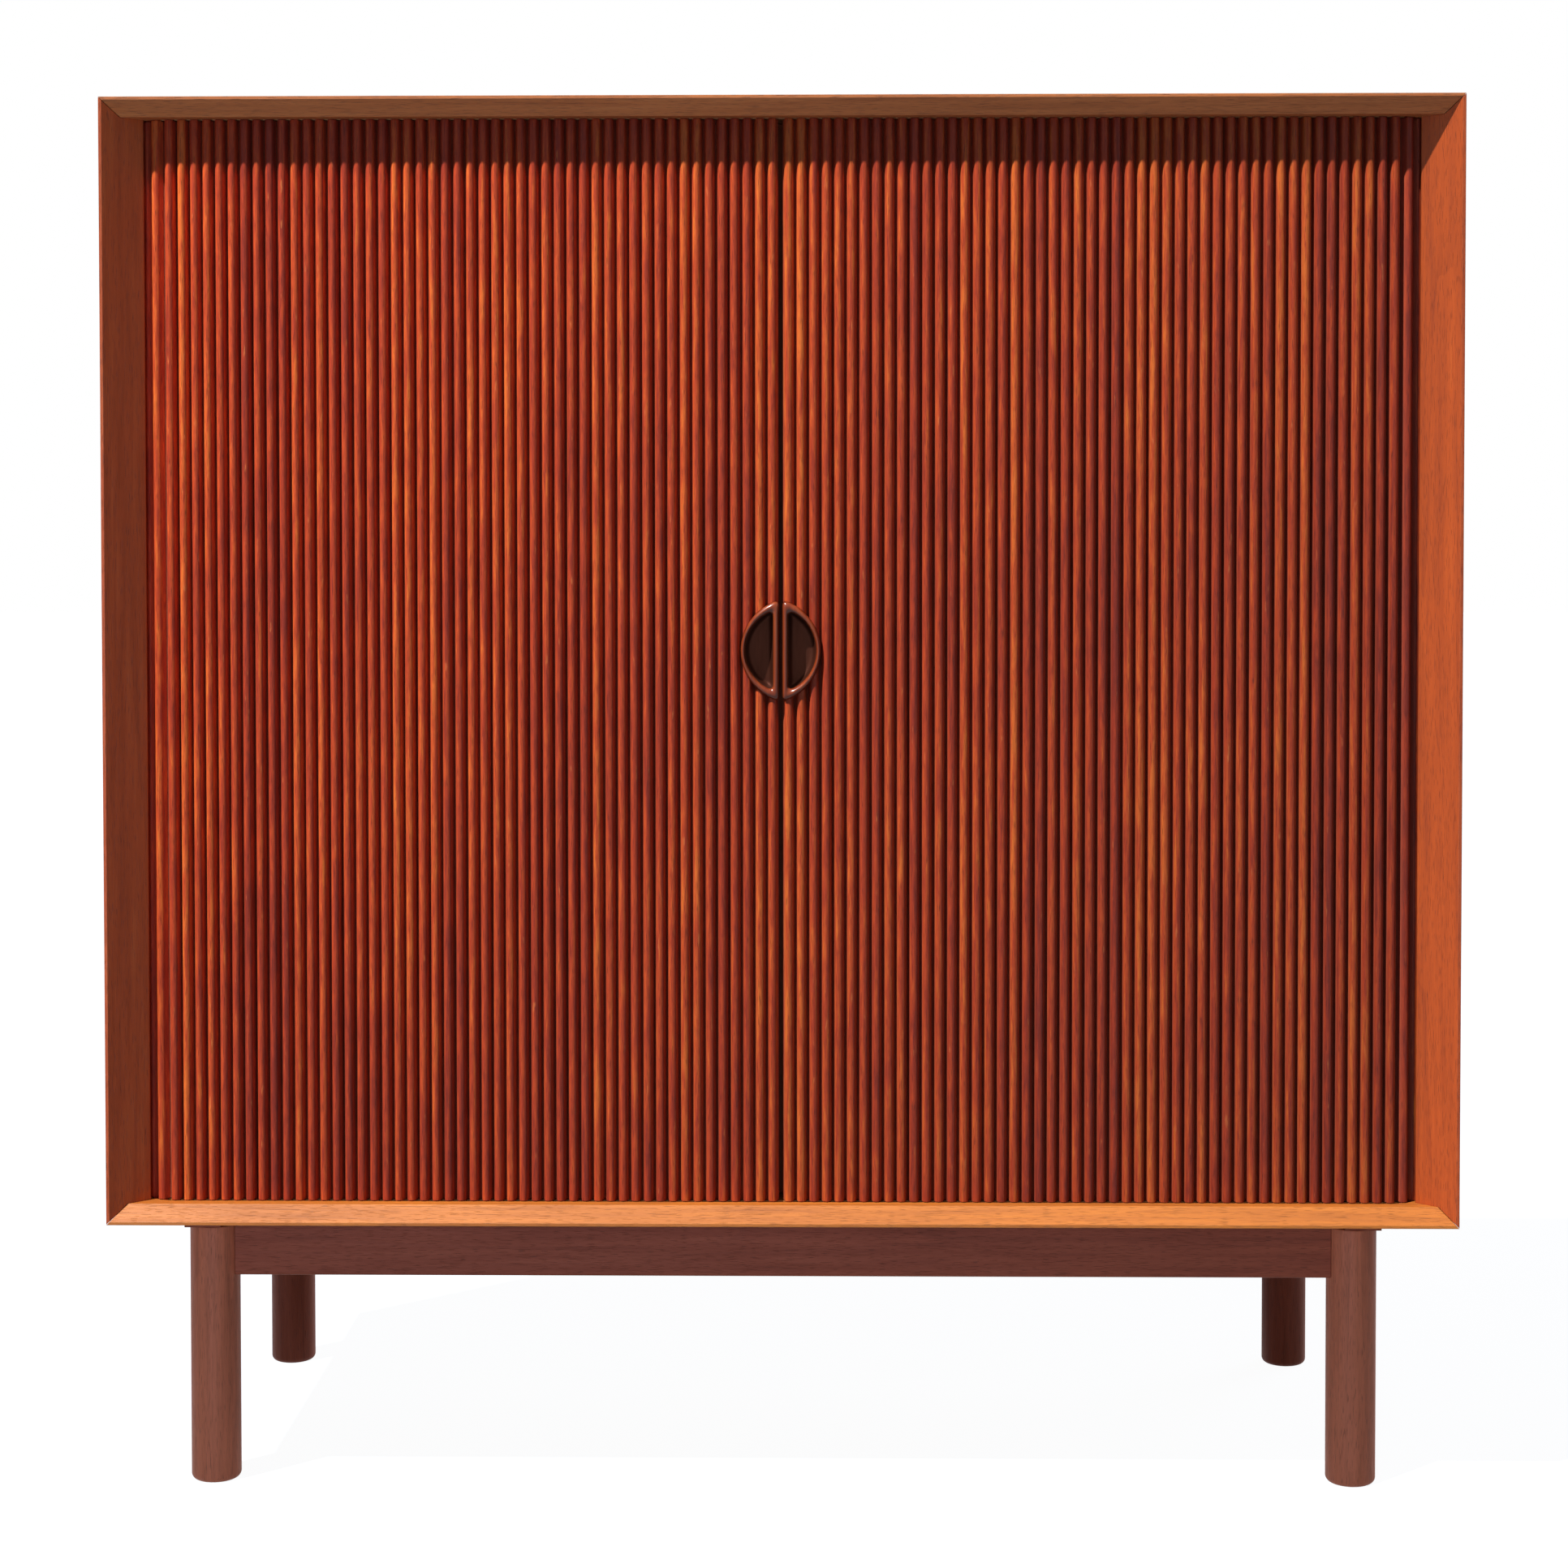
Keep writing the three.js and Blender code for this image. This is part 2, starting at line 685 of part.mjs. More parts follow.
// A half-moon outline: a flat side at a distance from the meeting edge, an arc of a circle as wide and
// high as given, and rounded tips.
function halfMoon(side, flatSide, width, height, corner) {
  const radius = (height * height / 4 + width * width) / (2 * width);
  const centre = flatSide + width - radius;
  const tipAngle = Math.acos((flatSide + corner - centre) / radius);
  const points = [];
  for (let step = 0; step <= pullArcSteps; step += 1) {
    const angle = tipAngle * (2 * step / pullArcSteps - 1);
    points.push([centre + radius * Math.cos(angle), radius * Math.sin(angle)]);
  }
  const arcEnd = radius * Math.sin(tipAngle);
  const tip = arcEnd + corner / Math.tan(tipAngle);
  const curve = new THREE.QuadraticBezierCurve(
    new THREE.Vector2(flatSide + corner, arcEnd),
    new THREE.Vector2(flatSide, tip),
    new THREE.Vector2(flatSide, tip - corner),
  ).getPoints(pullCornerSteps).map((point) => [point.x, point.y]);
  const lowerCurve = curve.map(([x, z]) => [x, -z]).reverse();
  const outline = [...points, ...curve.slice(1), ...lowerCurve.slice(0, -1)];
  return polygon(outline.map(([x, z]) => [side * (frontStart + x), z]));
}

// An outline run from a distance in front of the slats to a distance behind the canvas.
function pullForm(outline, proud, behind, round) {
  const depth = proud + curtainThickness + behind;
  const settings = {
    depth: depth - 2 * round,
    bevelEnabled: round > 0,
    bevelThickness: round,
    bevelSize: round,
    bevelOffset: -round,
    bevelSegments: pullRoundSteps,
  };
  const middle = innerBottom + innerHeight / 2 + pullAboveMiddle;
  const form = new THREE.ExtrudeGeometry(outline, settings).translate(0, 0, round).rotateX(quarterTurn);
  return form.translate(0, atDepth(slatRecess - proud) + depth, middle);
}

function pull(side, name) {
  const outline = halfMoon(side, 0, pullWidth, pullHeight, pullCorner);
  const shell = pullForm(outline, pullProud, pullBehind, pullRimRound);
  const hollow = halfMoon(side, pullBar, bowlWidth, bowlHeight, bowlCorner);
  const bowl = pullForm(hollow, pullProud + overrun + bowlRound, pullBehind - pullFloor, bowlRound);
  return part(name, cut(shell, bowl), finishes.pullTeak);
}

// Assembly

function buildCase() {
  const group = new THREE.Group();
  group.add(
    topPanel(),
    bottomPanel(),
    sidePanel(leftSide, 'left_side_panel'),
    sidePanel(rightSide, 'right_side_panel'),
    frontPost(leftSide, 'left_front_post'),
    frontPost(rightSide, 'right_front_post'),
    backPanel(),
    falseBack(),
    liner(leftSide, 'left_liner'),
    liner(rightSide, 'right_liner'),
    partition(),
    shelvesOn(leftSide, 'left'),
    shelvesOn(rightSide, 'right'),
  );
  return group;
}

function buildBase() {
  const group = new THREE.Group();
  group.add(
    leg(-legX, -legY, 'front_left_leg'),
    leg(legX, -legY, 'front_right_leg'),
    leg(-legX, legY, 'rear_left_leg'),
    leg(legX, legY, 'rear_right_leg'),
    crossRail(-legY, 'front_rail'),
    crossRail(legY, 'rear_rail'),
    sideRail(-legX, 'left_rail'),
    sideRail(legX, 'right_rail'),
    sideBatten(leftSide, 'left_batten'),
    sideBatten(rightSide, 'right_batten'),
    crossBatten(leftSide, 'front_batten'),
    crossBatten(rightSide, 'rear_batten'),
  );
  const screwNames = ['front_left', 'front_right', 'rear_left', 'rear_right'];
  screwPlaces().forEach(([x, y], index) => group.add(screw(x, y, `${screwNames[index]}_screw`)));
  return group;
}

function buildDoor(side, sideName) {
  const group = new THREE.Group();
  group.add(leadRun(side, `${sideName}_lead_slats`), pull(side, `${sideName}_pull`));
  stripSpans().forEach(({ first, count }, index) => {
    const run = curtainRun(side, first, count);
    group.add(part(`${sideName}_curtain_${index + 1}`, run, finishes.slatTeak));
  });
  const tail = curtainRun(side, slatsToBend, tailSlats);
  group.add(part(`${sideName}_curtain_tail`, tail, finishes.slatTeak));
  return group;
}

const cabinet = new THREE.Group();
cabinet.add(buildCase(), buildBase(), buildDoor(leftSide, 'left'), buildDoor(rightSide, 'right'));

export default cabinet;
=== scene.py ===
"""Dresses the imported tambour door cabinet: smooth slats on canvas, carved pulls, turned legs, teak
materials, a pale floor and soft studio light. Metres, +Z up, the front faces -Y."""
import json
import math
import random

import bpy
from mathutils import Matrix, Vector

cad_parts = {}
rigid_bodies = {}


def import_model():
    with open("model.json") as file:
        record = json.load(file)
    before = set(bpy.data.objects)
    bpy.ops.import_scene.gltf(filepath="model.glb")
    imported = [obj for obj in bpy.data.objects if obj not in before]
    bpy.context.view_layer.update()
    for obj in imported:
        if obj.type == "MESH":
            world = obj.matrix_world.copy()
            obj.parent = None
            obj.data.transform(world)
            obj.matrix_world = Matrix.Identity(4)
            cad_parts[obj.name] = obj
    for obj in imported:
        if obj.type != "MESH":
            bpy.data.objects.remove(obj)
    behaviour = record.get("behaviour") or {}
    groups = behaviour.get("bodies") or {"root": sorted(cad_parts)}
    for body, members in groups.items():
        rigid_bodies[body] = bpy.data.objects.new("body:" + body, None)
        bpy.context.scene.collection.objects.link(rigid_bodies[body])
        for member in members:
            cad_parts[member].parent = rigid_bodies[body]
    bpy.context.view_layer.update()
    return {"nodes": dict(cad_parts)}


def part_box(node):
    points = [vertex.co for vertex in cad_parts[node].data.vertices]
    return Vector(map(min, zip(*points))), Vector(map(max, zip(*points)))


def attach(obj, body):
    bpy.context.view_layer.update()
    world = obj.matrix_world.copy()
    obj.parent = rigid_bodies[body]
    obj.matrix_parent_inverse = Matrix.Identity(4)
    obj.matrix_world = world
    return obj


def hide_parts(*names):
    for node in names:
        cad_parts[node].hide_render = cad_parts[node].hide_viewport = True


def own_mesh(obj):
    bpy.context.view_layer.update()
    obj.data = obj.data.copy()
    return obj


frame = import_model()
random.seed(41)

MM = 0.001
SIDES = {"left": -1, "right": 1}

# Slats: a dome on sloped flanks, with a tongue at each end. Depths are from the front of the canvas
SLAT_PITCH = 10.25 * MM
SLAT_GAP = 0.9 * MM
SLAT_FRONT = 7.4 * MM
SLAT_FLANK = 1.1 * MM
DOME_RISE = 4.2 * MM
DOME_STEPS = 16
LENGTH_RINGS = 14
SLAT_LOW, SLAT_HIGH = 239.8 * MM, 1124.2 * MM
TONGUE_LOW, TONGUE_HIGH = 233.3 * MM, 1130.7 * MM
TONGUE_LAP = 0.2 * MM
TONGUE_HALF = 2.925 * MM
TONGUE_FRONT, TONGUE_BACK = -5.4 * MM, -1.4 * MM

# No two slats are alike: how far one may bow to a side, and by what share its height may differ
SWAY = 0.14 * MM
RISE_SHARE = 0.012

# How near the crest a point of a slat counts, from 0 at the canvas to 1 at the crest
SHOULDER_CREST = 0.12
TONGUE_CREST = 0.2

# Canvas behind the slats, cut a little short of the next strip
CANVAS = 0.6 * MM
CANVAS_STEPS = 6
CANVAS_TONE = 0.5
STRIP_GAP = 0.3 * MM

# Line of a curtain: straight across the front, round a bend and back along the side
FIRST_EDGE = 1.5 * MM
HINGE_Y = -199.6 * MM
HINGE_RADIUS = 22.6 * MM
BEND_X, BEND_Y = 498 * MM, HINGE_Y + HINGE_RADIUS

# Slats by number from the middle of the cabinet: lead section, strips and fixed tail. The strips together
# are as long as DOOR_LENGTH, and the pull is let in through the first CUT_SLATS
LEAD_SLATS = 4
STRIPS = [(4, 10), (10, 17), (17, 23), (23, 29), (29, 35), (35, 42), (42, 48)]
TAIL = (48, 55)
CUT_SLATS = 3

# Tones of the slats, from 0, dark red-brown, to 1, orange: chance, a slow wave across each door, and a
# lift at the meeting edge and at the left end of the front
TONE_MIDDLE, TONE_CHANCE = 0.48, 0.19
WAVE_HEIGHT, WAVE_PER_SLAT = 0.06, 0.23
WAVE_START = {-1: 2.1, 1: 0.6}
MEETING_LIFT, MEETING_SLATS = 0.22, 5
END_LIFT, END_SLATS, END_SLAT = 0.1, 4, 47

# Pulls: half-moons with their flat sides at the meeting edge
PULL_Z = 692 * MM
PULL_WIDTH, PULL_HEIGHT = 31 * MM, 82.5 * MM
PULL_CORNER = 5.5 * MM
PULL_ROOM = 0.3 * MM
PULL_FRONT = -210.5 * MM
PULL_DEEP = 17.5 * MM
ARC_STEPS, TIP_STEPS, FLAT_STEPS = 48, 8, 12

# Rim of a pull: how far its edges drop below its crown, and the power that makes the crown fuller
RIM_DROP = 2.6 * MM
RIM_STEPS = 16
RIM_POWER = 0.75

# Hollow of a pull. Its profile gives how far its wall has come in at a share of its depth, and its height
# and corners shrink by so much for each unit that the wall comes in
BOWL_SIDE = 4.6 * MM
BOWL_WIDTH, BOWL_HEIGHT = 23 * MM, 65 * MM
BOWL_CORNER = 6 * MM
BOWL_DEEP = 15.5 * MM
BOWL_PROFILE = [(0.1 * MM, 0.1), (0.3 * MM, 0.3), (0.7 * MM, 0.55), (1.3 * MM, 0.75), (2.2 * MM, 0.89),
                (3.4 * MM, 0.965), (4.8 * MM, 0.995), (6.2 * MM, 1.0)]
BOWL_HEIGHT_LOSS, BOWL_CORNER_LOSS = 2.4, 0.4

# Legs: round, with a rounded foot and a fine chamfer at the top
LEG_X, LEG_Y = 472.5 * MM, 175 * MM
LEG_RADIUS = 20.5 * MM
LEG_TOP = 214 * MM
LEG_CHAMFER = 0.4 * MM
LEG_SIDES = 96
FOOT_ROUND = 5 * MM
FOOT_FLAT = 13.5 * MM
FOOT_STEPS = 8

# Screws round the back panel. Their heads are given as shares of the radius and how far each stands out
SCREW_RADIUS = 2.6 * MM
SCREW_HEAD = [(1, -0.3 * MM), (1, 0.05 * MM), (0.9, 0.2 * MM), (0.6, 0.33 * MM), (0.2, 0.35 * MM)]
SCREW_SIDES = 24
SCREW_FROM_END, SCREW_FROM_SIDE = 12 * MM, 5 * MM
SCREW_ACROSS_SHARES = (0.04, 0.27, 0.5, 0.73, 0.96)
SCREW_UP_SHARES = (0.28, 0.5, 0.72)

SHARP_ANGLE = math.radians(38)

# Grain of the woods, in cells per metre before it is pressed together along its length
PIECE_SHIFT = (3.1, 5.7, 4.3)
GRAIN_PRESS = 0.045
DRIFT_SCALE, DRIFT_REACH = 9.0, (0.03, 0.03, 0.03)
RINGS_IN_CELL, RING_POWER = 7.0, 3.0
FIBRE_SCALE, PORE_SCALE = 1500.0, 2300.0
WEAVE_SCALE = 420.0

# Spans: where most of a noise lies, where pores open, where edges wear, as the cosine between the eased
# and the true face, and the heights down which painted bounce light reddens a leg
NOISE_SPAN = (0.3, 0.7)
PORE_SPAN = (0.66, 0.74)
EDGE_SPAN = (0.995, 0.86)
PAINTED_BOUNCE_SPAN = (150 * MM, 20 * MM)

# Edges are eased over a width, and a face whose normal's Y is below FRONT_FACING looks to the front
EDGE_WIDTH = 0.9 * MM
EDGE_SAMPLES = 3
FRONT_FACING = -0.9

# Colours, from dark to pale, and where on a ramp they lie
TONE_PLACES = (0.28, 0.43, 0.56, 0.72)
CASE_TONES = [(0.24, 0.034, 0.005), (0.34, 0.052, 0.006), (0.41, 0.065, 0.008), (0.49, 0.096, 0.014)]
SILL_TONES = [(0.29, 0.079, 0.010), (0.40, 0.115, 0.014), (0.49, 0.148, 0.018), (0.58, 0.208, 0.031)]
# The top board's tones are the sill's with more blue: painted cool bounce light on the shaded underside of
# its front edge
LINTEL_COOL_SHADE_TONES = [(0.31, 0.085, 0.020), (0.44, 0.125, 0.030), (0.53, 0.158, 0.038), (0.61, 0.220, 0.058)]
SIDE_TONES = [(0.24, 0.038, 0.006), (0.35, 0.058, 0.008), (0.42, 0.074, 0.010), (0.50, 0.108, 0.018)]
BASE_TONES = [(0.41, 0.101, 0.041), (0.58, 0.145, 0.060), (0.69, 0.176, 0.075), (0.79, 0.220, 0.096)]
# Darker base tones: painted shade for the rails, battens and rear legs under the case
SHADED_BASE_TONES = [(0.20, 0.036, 0.012), (0.29, 0.053, 0.019), (0.35, 0.067, 0.024), (0.41, 0.084, 0.031)]
INNER_TONES = [(0.30, 0.145, 0.055), (0.42, 0.215, 0.090), (0.50, 0.270, 0.120), (0.58, 0.335, 0.160)]
BACK_TONES = [(0.27, 0.105, 0.044), (0.37, 0.155, 0.068), (0.44, 0.195, 0.090), (0.51, 0.245, 0.118)]
SLAT_PLACES = (0.30, 0.45, 0.57, 0.72)
SLAT_TONES = [(0.20, 0.021, 0.011), (0.34, 0.037, 0.013), (0.45, 0.060, 0.015), (0.61, 0.130, 0.023)]
# The last is the valleys' pale brown, partly old wax and partly painted light
SLAT_FLECK, SLAT_PORE, SLAT_WAX_AND_PAINTED_LIGHT = (0.66, 0.20, 0.060), (0.05, 0.010, 0.005), (0.36, 0.098, 0.060)
CANVAS_TONES = [(0.20, 0.046, 0.024), (0.42, 0.120, 0.064)]
PULL_TONES = [(0.14, 0.020, 0.006), (0.23, 0.036, 0.009), (0.33, 0.066, 0.016)]
# The hollow's tones are painted shade, far darker than the pull's teak
HOLLOW_SHADE_TONES = [(0.016, 0.004, 0.002), (0.030, 0.007, 0.003)]
HOLLOW_SHINE = (1.0, 0.38, 0.26)
STEEL_TONES = [(0.30, 0.27, 0.22), (0.62, 0.60, 0.56)]
PORE_DARKNESS = 0.35

# Floor and background: both show as white, and these are the tones that they light the cabinet with
WHITE = (1, 1, 1)
FLOOR_REACH = 30
FLOOR_TONE, FLOOR_LIFT = (0.070, 0.092, 0.125), 0.963
FILL = (0.060, 0.084, 0.125)

# Lamps
LIT_POINT = (0, 0, 0.7)
SUN_FROM, SUN_AWAY = (-1.05, -1, 2.1), 4
SUN_STRENGTH, SUN_WIDTH, SUN_COLOUR = 1.9 * math.pi, math.radians(1.2), (1.0, 0.985, 0.96)
SIDE_PLACE, SIDE_AIM = (2.9, 2.6, 1.9), (0, 0.1, 0.6)
SIDE_STRENGTH, SIDE_SIZE = 45, 2.4
FRONT_PLACE = (-0.6, -2.6, 0.35)
FRONT_STRENGTH, FRONT_SIZE, FRONT_COLOUR = 36, 2.0, (0.52, 0.70, 1.0)

# Camera, fitted to the corners of the case, the legs and the feet in the photograph
CAMERA_PLACE = (0.0370, -2.5601, 0.7795)
CAMERA_YAW, CAMERA_PITCH, CAMERA_ROLL = math.radians(-0.834), math.radians(1.663), math.radians(-0.035)
CAMERA_LENS, CAMERA_SENSOR, CAMERA_SHIFT = 66.259, 36, -0.10
CAMERA_REACH = 100


# Materials

class Paint:
    """The nodes of one procedural material, or of the world. A colour is given as red, green and blue."""

    def __init__(self, owner):
        self.owner = owner
        owner.use_nodes = True
        self.tree = owner.node_tree
        self.tree.nodes.clear()

    def put(self, socket, value):
        if isinstance(value, bpy.types.NodeSocket):
            self.tree.links.new(value, socket)
        elif socket.type == "RGBA":
            socket.default_value = (*value, 1)
        else:
            socket.default_value = value

    def node(self, kind, inputs, **settings):
        made = self.tree.nodes.new("ShaderNode" + kind)
        for key, value in settings.items():
            setattr(made, key, value)
        for key, value in inputs.items():
            self.put(made.inputs[key], value)
        return made

    def object_place(self):
        return self.node("TexCoord", {}).outputs["Object"]

    def true_normal(self):
        return self.node("NewGeometry", {}).outputs["True Normal"]

    def axes(self, vector):
        return self.node("SeparateXYZ", {"Vector": vector}).outputs

    def attribute(self, name):
        return self.node("Attribute", {}, attribute_name=name).outputs["Fac"]

    def noise(self, vector, scale, detail=2.0, roughness=0.5):
        inputs = {"Vector": vector, "Scale": scale, "Detail": detail, "Roughness": roughness}
        return self.node("TexNoise", inputs).outputs[0]

    def maths(self, operation, first, second=0.0):
        return self.node("Math", {0: first, 1: second}, operation=operation).outputs[0]

    def times(self, first, second):
        return self.maths("MULTIPLY", first, second)

    def weighed(self, *parts):
        """The sum of values, each times its weight."""
        scaled = [self.times(value, weight) for value, weight in parts]
        total = scaled[0]
        for value in scaled[1:]:
            total = self.maths("ADD", total, value)
        return total

    def vector(self, operation, first, second):
        return self.node("VectorMath", {0: first, 1: second}, operation=operation).outputs[0]

    def stretched(self, vector, factors):
        return self.vector("MULTIPLY", vector, factors)

    def spread(self, value, span, to=(0.0, 1.0)):
        """A value moved from one span to another, and kept within it."""
        inputs = {"Value": value, "From Min": span[0], "From Max": span[1], "To Min": to[0], "To Max": to[1]}
        return self.node("MapRange", inputs).outputs[0]

    def mixed(self, share, first, second, blend="MIX"):
        """Two colours mixed. Their sockets on the node are 6 and 7, and the mixture is its third output."""
        made = self.node("Mix", {0: share, 6: first, 7: second}, data_type="RGBA", blend_type=blend)
        return made.outputs[2]

    def toned(self, colour, factor):
        return self.mixed(1.0, colour, factor, "MULTIPLY")

    def ramp(self, value, places, tones):
        made = self.node("ValToRGB", {0: value})
        line = made.color_ramp
        while len(line.elements) < len(places):
            line.elements.new(0.5)
        for element, place, tone in zip(line.elements, places, tones):
            element.position = place
            element.color = (*tone, 1)
        return made.outputs[0]

    def seen(self):
        """1 for the camera's rays and those that gloss or glass sends on, otherwise 0."""
        path = self.node("LightPath", {}).outputs
        seen = self.maths("MAXIMUM", path["Is Camera Ray"], path["Is Glossy Ray"])
        return self.maths("MAXIMUM", seen, path["Is Transmission Ray"])

    def finish(self, colour, roughness, height, depth, edge_normal=None, **sockets):
        bump = {"Height": height, "Distance": depth, "Strength": 1.0}
        if edge_normal is not None:
            bump["Normal"] = edge_normal
        normal = self.node("Bump", bump).outputs[0]
        inputs = {"Base Color": colour, "Roughness": roughness, "Normal": normal}
        inputs.update({key.replace("_", " "): value for key, value in sockets.items()})
        shader = self.node("BsdfPrincipled", inputs)
        self.node("OutputMaterial", {"Surface": shader.outputs[0]})
        return self.owner


def new_paint(name):
    return Paint(bpy.data.materials.new(name))


def grain_place(paint, grain):
    """Object coordinates, then moved by a different amount on each piece, then pressed along the grain."""
    whole = paint.object_place()
    chance = paint.node("ObjectInfo", {}).outputs["Random"]
    moved = paint.vector("ADD", whole, paint.stretched(chance, PIECE_SHIFT))
    press = [GRAIN_PRESS if axis == grain else 1.0 for axis in "XYZ"]
    return whole, moved, paint.stretched(moved, tuple(press))


def fibres(paint, place):
    return paint.noise(place, FIBRE_SCALE, detail=2.0, roughness=0.6)


def open_pores(paint, place):
    return paint.spread(paint.noise(place, PORE_SCALE, detail=0.0), PORE_SPAN)


def relief(paint, fibre, pore):
    """Height of a wood's surface, raised at the fibres and sunk at the pores."""
    return paint.maths("SUBTRACT", paint.times(fibre, 0.6), pore)


def edge_mask(paint):
    """The normal with the edges eased, and a share that is high only near an edge."""
    eased = paint.node("Bevel", {"Radius": EDGE_WIDTH}, samples=EDGE_SAMPLES).outputs[0]
    both = {0: eased, 1: paint.true_normal()}
    facing = paint.node("VectorMath", both, operation="DOT_PRODUCT").outputs["Value"]
    return eased, paint.spread(facing, EDGE_SPAN)


def wood(name, grain, tones, figure=0.5, roughness=0.5, gloss=0.2, pores=0.5, worn=(0.62, 0.22, 0.09),
         painted_bounce=None, lipping=None):
    """Oiled wood: rings and streaks along the grain, fibres, open pores, worn edges, and feet made redder by
    painted bounce light. A panel may have a lipping of other wood on its front edge."""
    paint = new_paint(name)
    whole, moved, place = grain_place(paint, grain)
    drift = paint.node("TexNoise", {"Vector": place, "Scale": DRIFT_SCALE, "Detail": 2.0}).outputs["Color"]
    bent = paint.vector("ADD", place, paint.stretched(drift, DRIFT_REACH))
    broad = paint.noise(bent, scale=11.0, detail=3.0)
    streak = paint.noise(bent, scale=190.0, detail=5.0, roughness=0.65)
    rings = paint.times(paint.noise(bent, scale=34.0, detail=1.0, roughness=0.4), RINGS_IN_CELL)
    rings = paint.maths("POWER", paint.maths("FRACT", rings), RING_POWER)
    fibre = fibres(paint, place)
    pore = open_pores(paint, place)
    shade = paint.weighed((streak, 0.55), (broad, 0.45), (rings, -0.16 * figure))
    colour = paint.ramp(shade, TONE_PLACES, tones)
    if lipping:
        front = paint.maths("LESS_THAN", paint.axes(paint.true_normal())["Y"], FRONT_FACING)
        colour = paint.mixed(front, colour, paint.ramp(shade, TONE_PLACES, lipping))
    # Painted bounce light: legs redder and lighter towards the floor, in patches
    if painted_bounce:
        patch = paint.spread(paint.noise(place, scale=40.0, detail=3.0), NOISE_SPAN, (0.4, 1.0))
        low = paint.spread(paint.axes(whole)["Z"], PAINTED_BOUNCE_SPAN, (0.0, 0.6))
        colour = paint.mixed(paint.times(low, patch), colour, painted_bounce)
    colour = paint.toned(colour, paint.spread(fibre, NOISE_SPAN, (0.93, 1.06)))
    dark = tuple(PORE_DARKNESS * part for part in tones[0])
    colour = paint.mixed(paint.times(pore, pores), colour, dark)
    eased, edge = edge_mask(paint)
    rub = paint.spread(paint.noise(moved, scale=60.0, detail=4.0, roughness=0.7), (0.42, 0.62))
    colour = paint.mixed(paint.times(paint.times(edge, rub), 0.4), colour, worn)
    uneven = paint.maths("ADD", streak, fibre)
    rough = paint.spread(uneven, (0.7, 1.3), (roughness + 0.08, roughness - 0.07))
    return paint.finish(colour, rough, relief(paint, fibre, pore), depth=0.1 * MM, edge_normal=eased,
                        Specular_IOR_Level=gloss)


def slat_wood():
    """Slat teak: each slat has its own tone and pale flecks on its crest. Painted light lightens its valleys
    and darkens its crest, the pale brown in its valleys is partly old wax and partly painted light, and
    painted light makes the doors brighter towards the top and the left."""
    paint = new_paint("slat_teak_up")
    whole, moved, place = grain_place(paint, "Z")
    tone, crest = paint.attribute("tone"), paint.attribute("crest")
    clouds = paint.noise(paint.stretched(whole, (3.2, 0.0, 2.2)), scale=1.0, detail=4.0, roughness=0.6)
    streak = paint.spread(paint.noise(place, scale=330.0, detail=5.0, roughness=0.65), NOISE_SPAN)
    mottle = paint.noise(paint.stretched(moved, (1.0, 1.0, 0.12)), scale=260.0, detail=4.0, roughness=0.7)
    fibre = fibres(paint, place)
    pore = open_pores(paint, place)
    shade = paint.weighed((streak, 0.26), (paint.spread(clouds, NOISE_SPAN), 0.20),
                          (paint.spread(mottle, NOISE_SPAN), 0.24), (tone, 0.32))
    colour = paint.ramp(shade, SLAT_PLACES, SLAT_TONES)
    colour = paint.toned(colour, paint.spread(fibre, NOISE_SPAN, (0.88, 1.1)))
    fleck = paint.noise(paint.stretched(moved, (1.0, 1.0, 0.16)), scale=420.0)
    fleck = paint.times(paint.spread(fleck, (0.67, 0.76)), paint.spread(crest, (0.6, 1.0)))
    colour = paint.mixed(paint.times(fleck, 0.5), colour, SLAT_FLECK)
    colour = paint.mixed(paint.times(pore, 0.5), colour, SLAT_PORE)
    # Painted light: the valleys are lightened and the crests darkened, which softens the shading between them
    colour = paint.toned(colour, paint.spread(crest, (0.2, 1.0), (1.28, 0.92)))
    # Painted light: the doors are brighter towards the top and the left, darker towards the bottom and the
    # right
    axes = paint.axes(whole)
    painted_light_upwards = paint.spread(axes["Z"], (SLAT_LOW, SLAT_HIGH), (0.82, 1.20))
    across = paint.spread(axes["X"], (-BEND_X, BEND_X), (1.42, 0.76))
    colour = paint.toned(colour, paint.times(painted_light_upwards, across))
    # Pale brown in the valleys: partly old wax, partly painted light that lifts their shade
    colour = paint.mixed(paint.spread(crest, (0.75, 0.1), (0.0, 0.42)), colour, SLAT_WAX_AND_PAINTED_LIGHT)
    rough = paint.spread(paint.maths("ADD", streak, fibre), (0.4, 1.6), (0.54, 0.38))
    return paint.finish(colour, rough, relief(paint, fibre, pore), depth=0.08 * MM, Specular_IOR_Level=0.26)


def canvas_cloth():
    """Brown linen canvas in a plain weave, glued behind the slats."""
    paint = new_paint("canvas_weave")
    place = paint.object_place()
    threads = {"Vector": place, "Scale": WEAVE_SCALE, "Distortion": 0.6}
    across, upward = (paint.node("TexWave", threads, bands_direction=axis).outputs[1] for axis in "XZ")
    weave = paint.maths("MAXIMUM", across, upward)
    wear = paint.noise(place, scale=90.0, detail=4.0)
    colour = paint.ramp(paint.times(weave, wear), (0.1, 0.7), CANVAS_TONES)
    rough = paint.spread(wear, NOISE_SPAN, (0.95, 0.85))
    return paint.finish(colour, rough, weave, depth=0.15 * MM, Specular_IOR_Level=0.1)


def pull_wood():
    """Darker, closer teak, polished by hands."""
    paint = new_paint("pull_teak_up")
    place = grain_place(paint, "Z")[2]
    streak = paint.noise(place, scale=240.0, detail=5.0, roughness=0.65)
    colour = paint.ramp(streak, (0.3, 0.5, 0.72), PULL_TONES)
    rough = paint.spread(streak, NOISE_SPAN, (0.34, 0.26))
    return paint.finish(colour, rough, fibres(paint, place), depth=0.05 * MM, Specular_IOR_Level=0.2,
                        Coat_Weight=0.25, Coat_Roughness=0.14)


